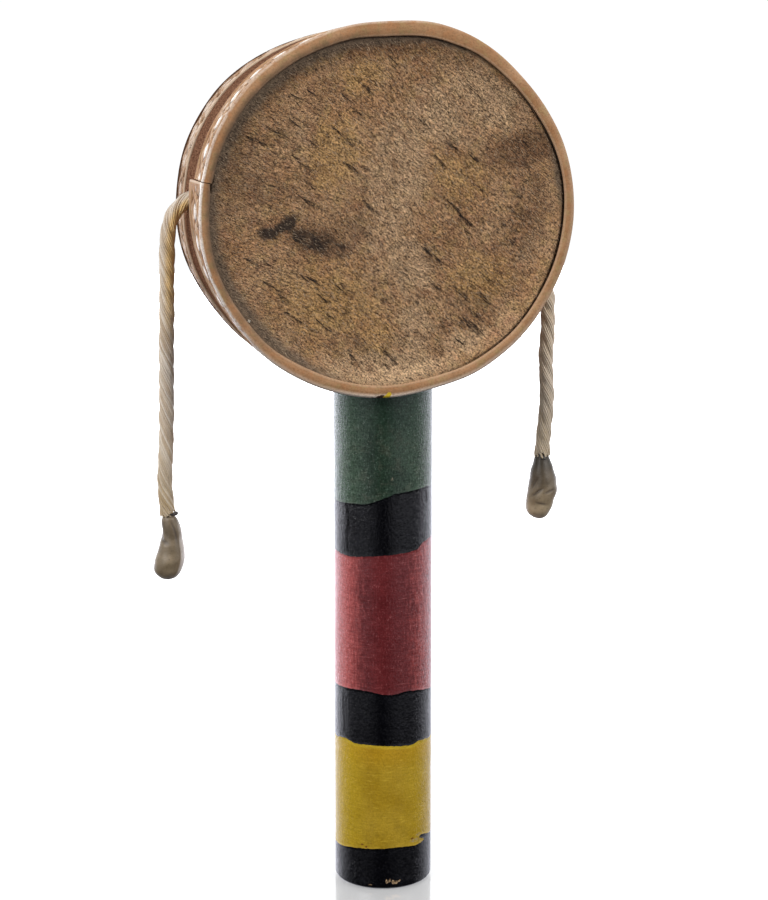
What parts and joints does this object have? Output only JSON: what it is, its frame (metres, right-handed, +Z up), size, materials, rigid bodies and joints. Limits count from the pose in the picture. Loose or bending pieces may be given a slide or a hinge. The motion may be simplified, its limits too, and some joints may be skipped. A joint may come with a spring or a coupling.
{
  "type": "pellet drum",
  "caption": "Hand-held pellet drum: hide-headed round drum with embossed leather rims on a painted stick handle, with a pellet hanging on a cord at each side to strike the heads.",
  "frame": {"origin": "middle of the handle's flat foot", "axes": "+Z up along the handle, -Y out of the front head, +X to the right as seen from the front"},
  "size_m": [0.1046, 0.045, 0.2193],
  "materials": {
    "handle_paint": "turned stick, brushed with bands of green, black, red and yellow satin paint",
    "shell_wood": "bent wood, stained dark red-brown",
    "head_hide": "mottled rawhide with short dark hair left in the grain",
    "strip_leather": "tan leather strip embossed with a two-strand braid",
    "cord_cotton": "twisted undyed cotton cord",
    "pellet_putty": "hand-moulded grey-brown putty"
  },
  "bodies": {
    "root": {"handle": "handle_paint", "shell": "shell_wood", "front_head": "head_hide", "back_head": "head_hide", "front_strip": "strip_leather", "back_strip": "strip_leather", "left_cord": "cord_cotton", "right_cord": "cord_cotton", "left_pellet": "pellet_putty", "right_pellet": "pellet_putty"}
  },
  "joints": []
}
